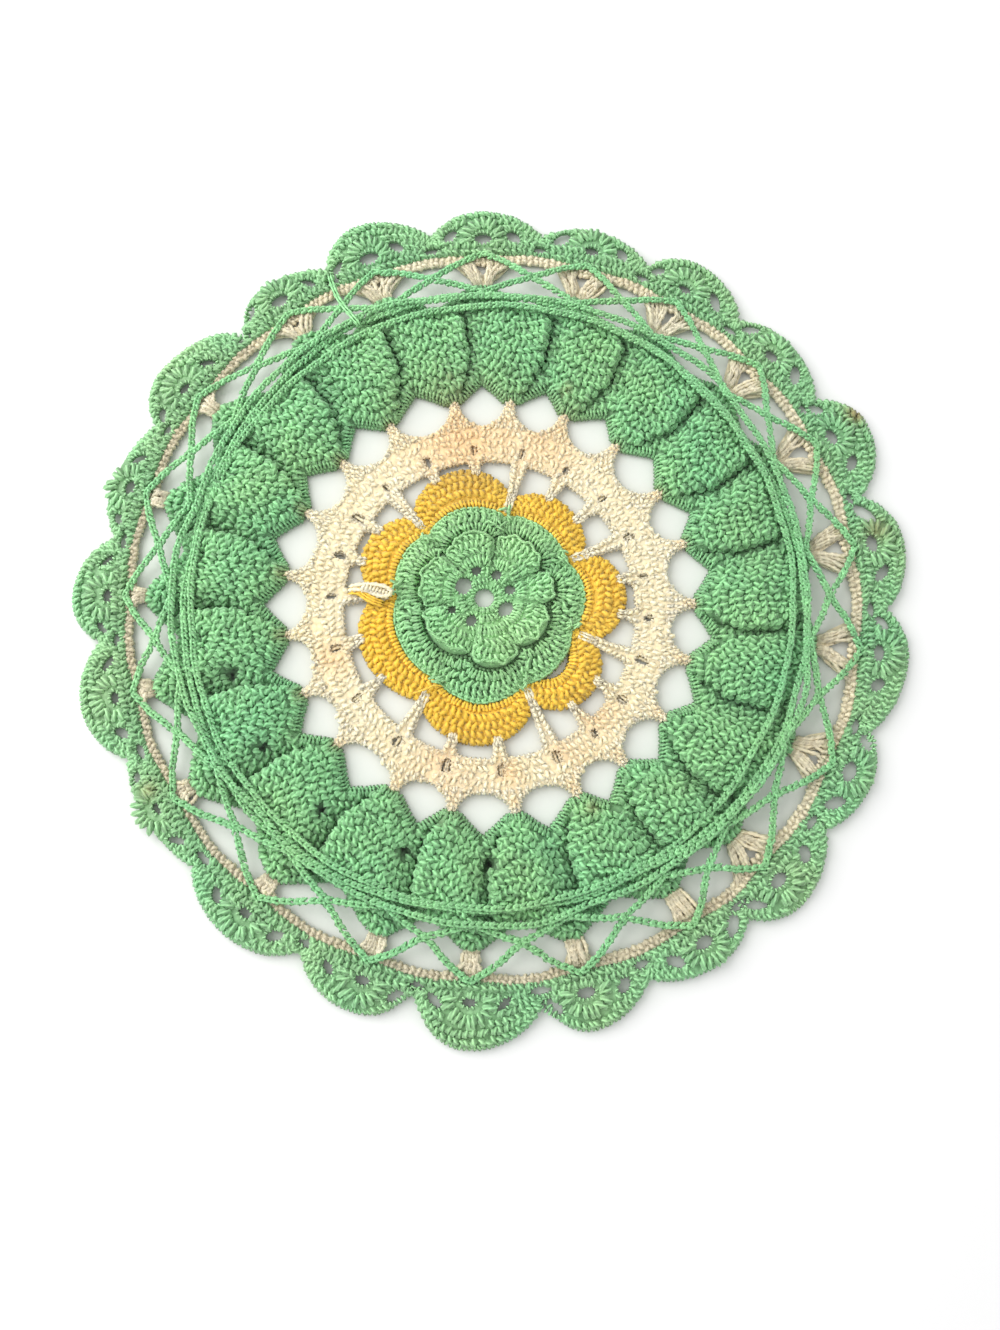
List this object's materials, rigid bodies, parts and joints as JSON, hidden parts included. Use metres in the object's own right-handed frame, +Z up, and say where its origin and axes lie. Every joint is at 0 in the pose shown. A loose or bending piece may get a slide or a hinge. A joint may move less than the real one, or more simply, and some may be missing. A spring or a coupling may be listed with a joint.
{
  "type": "crocheted lace doily",
  "caption": "Round crocheted doily in green, yellow and ecru cotton: petals, lace, puffed leaves, a scalloped edge and a drawn chain net on its face.",
  "frame": {"origin": "middle of the doily's box in plan, on the surface that it lies on", "axes": "+Z up out of the face, +Y towards the top of the doily as pictured, +X to its right"},
  "size_m": [0.235, 0.2422, 0.0066],
  "materials": {
    "green_cotton": "matt mercerised crochet cotton, soft green",
    "yellow_cotton": "matt mercerised crochet cotton, golden yellow",
    "ecru_cotton": "matt crochet cotton, ecru, unevenly aged"
  },
  "bodies": {
    "root": {"rosette": "green_cotton", "petal_round": "yellow_cotton", "lace_round": "ecru_cotton", "leaf_round": "green_cotton", "fan_band": "ecru_cotton", "scallop_border": "green_cotton", "chain_net": "green_cotton"}
  },
  "joints": []
}
